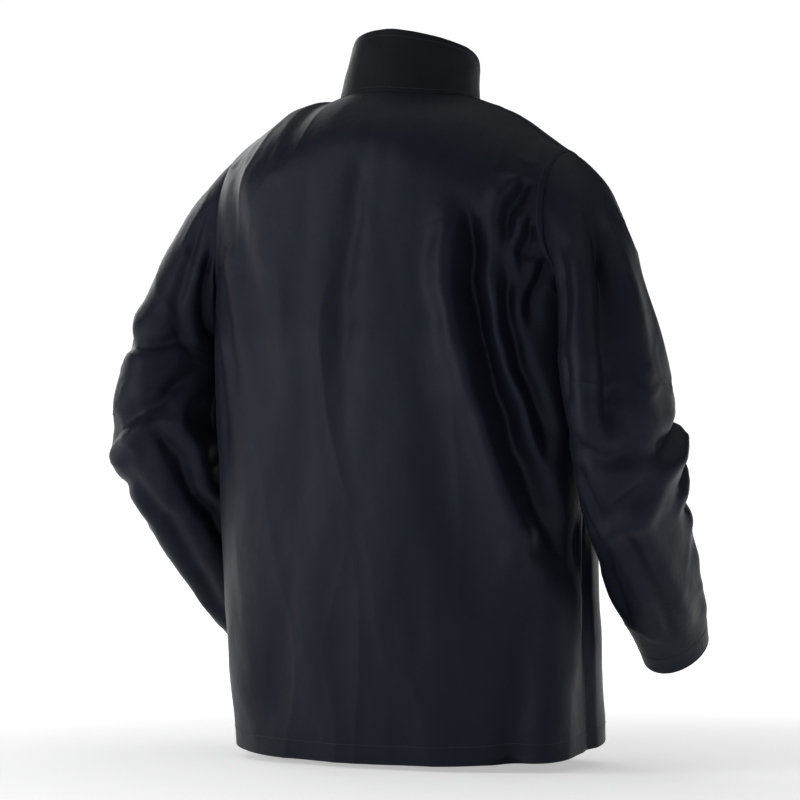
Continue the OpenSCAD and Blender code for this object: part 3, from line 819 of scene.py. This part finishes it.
for sd, nm in ((1, "left"), (-1, "right")):
    m = ARMS[sd]
    up, lo = sleeve_piece(sd, False), sleeve_piece(sd, True)
    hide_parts(nm + "_sleeve_cap", nm + "_sleeve_upper")
    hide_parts(nm + "_sleeve_elbow", nm + "_sleeve_fore")
    d1 = unit(np.array([0.6, 0, -0.8]))
    ring = lambda q: (sleeve_out(sd, q, np.linspace(0, 1, 106))[0] * [sd, 1, 1]) @ d1
    mm(d1 * ring(0.0).max(), sd)
    mm(d1 * ring(SPLIT).min(), sd)
    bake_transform(up)
    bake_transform(lo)
    fo = lambda a, b: sleeve_out(sd, b, a, -T - 0.45)
    al = np.linspace(0, 1, 61)[:-1]
    al = al if sd > 0 else al[::-1]
    band = make(nm + "_cuff_band_cloth",
                [grid_piece(fo, al, np.linspace(1.9, 1.997, 10), 1.0, SLEEVE_UV, True)], [M_IN])
    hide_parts(nm + "_cuff_band")
    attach(band, nm + "_forearm")
    # tab on the cuff
    def ft(a, b):
        e = 0.024 * sm((a - 0.905) / 0.045) * (1 - ((b - 1.945) / 0.04) ** 2)
        P, N = sleeve_out(sd, b, a + e)
        A, B = np.broadcast_arrays(a, b)
        P0 = sleeve(m, B, A + e) * [sd, 1, 1]
        return P0 + N * 5.3, N
    ta = np.linspace(0.77, 0.95, 26)
    tab = make(nm + "_cuff_tab_cloth",
               [grid_piece(ft, ta if sd > 0 else ta[::-1], np.linspace(1.905, 1.985, 12), 1.2, SLEEVE_UV),
                line(ft, [0.785, 0.94], [1.911] * 2, 60), line(ft, [0.785, 0.94], [1.979] * 2, 60)],
               [M_OUT, M_THR])
    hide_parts(nm + "_cuff_tab")
    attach(tab, nm + "_tab")
    p, n = sleeve(m, 1.945, 0.93) * [sd, 1, 1], sleeve_out(sd, 1.945, 0.93)[1]
    s1, s2, s3 = placed(cap, p, n, 5.55), placed(sock, p, n, 1.25), placed(stud, p, n, 0.35)
    o = make(nm + "_tab_snap_metal", [(s1[0], s1[1], None, 0), (s2[0], s2[1], None, 1)], [M_CAP, M_METAL])
    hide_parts(nm + "_tab_snap")
    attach(o, nm + "_tab")
    o = make(nm + "_cuff_stud_metal", [(s3[0], s3[1], None, 0)], [M_METAL])
    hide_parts(nm + "_cuff_stud")
    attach(o, nm + "_forearm")

# snaps down the front and at the collar
vs = np.linspace(0.06, 0.93, 6)


def snaps(name, shape, d, mat, node, on):
    """Six snap parts down the front as one piece, and the one at the collar."""
    parts = []
    for v in vs:
        P, N = front_out(np.array(-0.075), np.array(v))
        s = placed(shape, P, N, d)
        parts.append((s[0], s[1], None, 0))
    o = make(name, parts, [mat])
    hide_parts(node)
    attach(o, on)
    P, N = collar_out(np.array(194.0), np.array(0.6))
    s = placed(shape, P, N, d)
    o = make(name.replace("front", "collar"), [(s[0], s[1], None, 0)], [mat])
    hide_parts(node.replace("front", "collar").rstrip("s"))
    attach(o, on)


snaps("front_snap_caps_metal", cap, LIFT + 0.35, M_CAP, "front_snap_caps", "left_front")
snaps("front_snap_sockets_metal", sock, LIFT - 5.5, M_METAL, "front_snap_sockets", "left_front")
snaps("front_snap_studs_metal", stud, 0.3, M_METAL, "front_snap_studs", "right_front")
snaps("front_snap_backs_metal", back_disc, -4.2, M_CAP, "front_snap_backs", "right_front")

# trim inside the neck
tape_f = lambda a, b: collar_out(a, b, -3.9)
o = make("neck_tape_cloth",
         [grid_piece(tape_f, np.linspace(70, -70, 50), np.linspace(0.04, 0.2, 5), 0.6, COLLAR_UV),
          line(tape_f, [69, -69], [0.06] * 2), line(tape_f, [69, -69], [0.18] * 2)], [M_TAPE, M_THR])
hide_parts("neck_tape")
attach(o, "jacket_body")
loop_f = lambda a, b: collar_out(a, b, -5.2 - 6 * np.sin(np.pi * (a + 17) / 34))
loop = make("hanger_loop_cloth",
            [grid_piece(loop_f, np.linspace(17, -17, 30), np.linspace(0.18, 0.27, 5), 0.8, COLLAR_UV)], [M_TAPE])
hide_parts("hanger_loop")
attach(loop, "jacket_body")
label_f = lambda a, b: collar_out(a, b, -3.6)
label = make("size_label_cloth",
             [grid_piece(label_f, np.linspace(14, -14, 29), np.linspace(0.42, 0.74, 12), 0.5, COLLAR_UV),
              line(label_f, [13.4, -13.4], [0.435] * 2), line(label_f, [13.4, -13.4], [0.725] * 2)],
             [M_LABEL, M_LABEL])
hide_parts("size_label")
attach(label, "jacket_body")


# inside pocket
def pocket(back):
    """One layer of the pocket bag: back 0 lies on the front's reverse and back 1 hangs free of it."""
    def f(a, b):
        x, z = 12 + 102 * a, -520 + 160 * b
        x, z = np.broadcast_arrays(x, z)
        s = np.interp(x / A0, out(np.linspace(0, 1, 200)), np.linspace(0, 1, 200))
        v = (z - HEM) / (PIT - HEM) * VA
        P, N = front_out(s, v, -3.6)
        g = 14 * np.sin(np.pi * a) * np.sin(np.pi / 2 * b)
        return P - N * ((g + 1.2) * back)[..., None], N
    return f


a, b = np.linspace(0, 1, 26), np.linspace(0, 1, 34)
parts = [grid_piece(pocket(0.0), a, b, 0.7, POCKET_UV), grid_piece(pocket(1.0), a, b, 0.8, POCKET_UV),
         line(pocket(1.0), [0.03, 0.97], [0.96] * 2)]
pk = make("inside_pocket_cloth", parts, [M_IN, M_THR])
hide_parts("inside_pocket")

for o in (left_front, col_lo, col_li, left_facing, pk):
    open_with_front(o)
for o in (right_front, col_ro, col_ri, right_facing):
    open_with_front(o)
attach(back, "jacket_body")


# ------------------------------------------------------------------ stage, camera and light
def area(name, loc, size, power, target):
    """A square white light of a size in metres and a power in watts that points at target."""
    li = bpy.data.lights.new(name, "AREA")
    li.size, li.energy = size, power
    o = bpy.data.objects.new(name, li)
    o.location = loc
    o.rotation_euler = (Vector(target) - Vector(loc)).to_track_quat("-Z", "Y").to_euler()
    bpy.context.scene.collection.objects.link(o)


def plain(name, corners, color, painted_shade_glow, far_glow):
    """A plain surface that glows, evenly white far from the middle and less near it: painted shade round the middle,
    so the shadow under the hem stays dark.
    """
    me = bpy.data.meshes.new(name)
    me.from_pydata(corners, [], [(0, 1, 2, 3)])
    m = bpy.data.materials.new(name)
    m.use_nodes = True
    b = m.node_tree.nodes["Principled BSDF"]
    b.inputs["Base Color"].default_value = (color, color, color, 1)
    b.inputs["Roughness"].default_value = 0.9
    b.inputs["Specular IOR Level"].default_value = 0.0
    b.inputs["Emission Color"].default_value = (1, 1, 1, 1)
    coord, away, fade = (m.node_tree.nodes.new("ShaderNode" + k) for k in ("TexCoord", "VectorMath", "MapRange"))
    away.operation, fade.interpolation_type = "LENGTH", "SMOOTHSTEP"
    fade.inputs["From Min"].default_value, fade.inputs["From Max"].default_value = 0.85, 1.7
    fade.inputs["To Min"].default_value, fade.inputs["To Max"].default_value = painted_shade_glow, far_glow
    m.node_tree.links.new(coord.outputs["Object"], away.inputs[0])
    m.node_tree.links.new(away.outputs["Value"], fade.inputs["Value"])
    m.node_tree.links.new(fade.outputs["Result"], b.inputs["Emission Strength"])
    me.materials.append(m)
    o = bpy.data.objects.new(name, me)
    bpy.context.scene.collection.objects.link(o)


# the photo's camera, behind the jacket and a little to its right
az, el = math.radians(212), math.radians(-0.3)
way = Vector((math.sin(az) * math.cos(el), -math.cos(az) * math.cos(el), math.sin(el)))
aim = Vector((0.014, 0.009, -0.3704))
cam = bpy.data.cameras.new("camera")
cam.lens, cam.sensor_width = 168.75, 36
co = bpy.data.objects.new("camera", cam)
co.location = aim + way * 4.5
co.rotation_euler = way.to_track_quat("Z", "Y").to_euler()
bpy.context.scene.collection.objects.link(co)
bpy.context.scene.camera = co

right = Vector((math.cos(az), math.sin(az), 0))
flat_way = Vector((way.x, way.y, 0)).normalized()
zf = -0.803  # just under the hem
R = 30.0
# the floor glows white far out and less near the middle: painted shade round the jacket's foot
plain("floor", [(-R, -R, zf), (R, -R, zf), (R, R, zf), (-R, R, zf)], 0.9, 0.44, 0.85)

# a white band round the horizon, a dark wall above it and a wide soft box overhead
world = bpy.data.worlds.new("studio")
bpy.context.scene.world = world
world.use_nodes = True
nt = world.node_tree
coord, split, ramp = (nt.nodes.new("ShaderNode" + k) for k in ("TexCoord", "SeparateXYZ", "ValToRGB"))
nt.links.new(coord.outputs["Generated"], split.inputs[0])
nt.links.new(split.outputs["Z"], ramp.inputs[0])
nt.links.new(ramp.outputs["Color"], nt.nodes["Background"].inputs[0])
stops = ((0.0, 1.0), (0.12, 1.0), (0.18, 0.05), (0.62, 0.05), (0.76, 0.55))
for k, (at, value) in enumerate(stops):
    e = ramp.color_ramp.elements[k] if k < 2 else ramp.color_ramp.elements.new(at)
    e.position, e.color = at, (value, value, value, 1)
nt.nodes["Background"].inputs[1].default_value = 1.06
bpy.context.scene.view_settings.view_transform = "Standard"
centre = Vector((0, 0, -0.35))
area("key", centre - right * 3.2 + flat_way * 0.8 + Vector((0, 0, 0.7)), 1.0, 25, centre)
area("fill", centre + flat_way * 2.0 - right * 2.7 + Vector((0, 0, 0.3)), 1.0, 12, centre)
area("edge", centre + right * 2.8 + flat_way * 1.6 + Vector((0, 0, 0.9)), 0.5, 3, centre)
area("front", centre - flat_way * 3.2 - right * 1.5 + Vector((0, 0, 1.2)), 1.6, 26, centre)
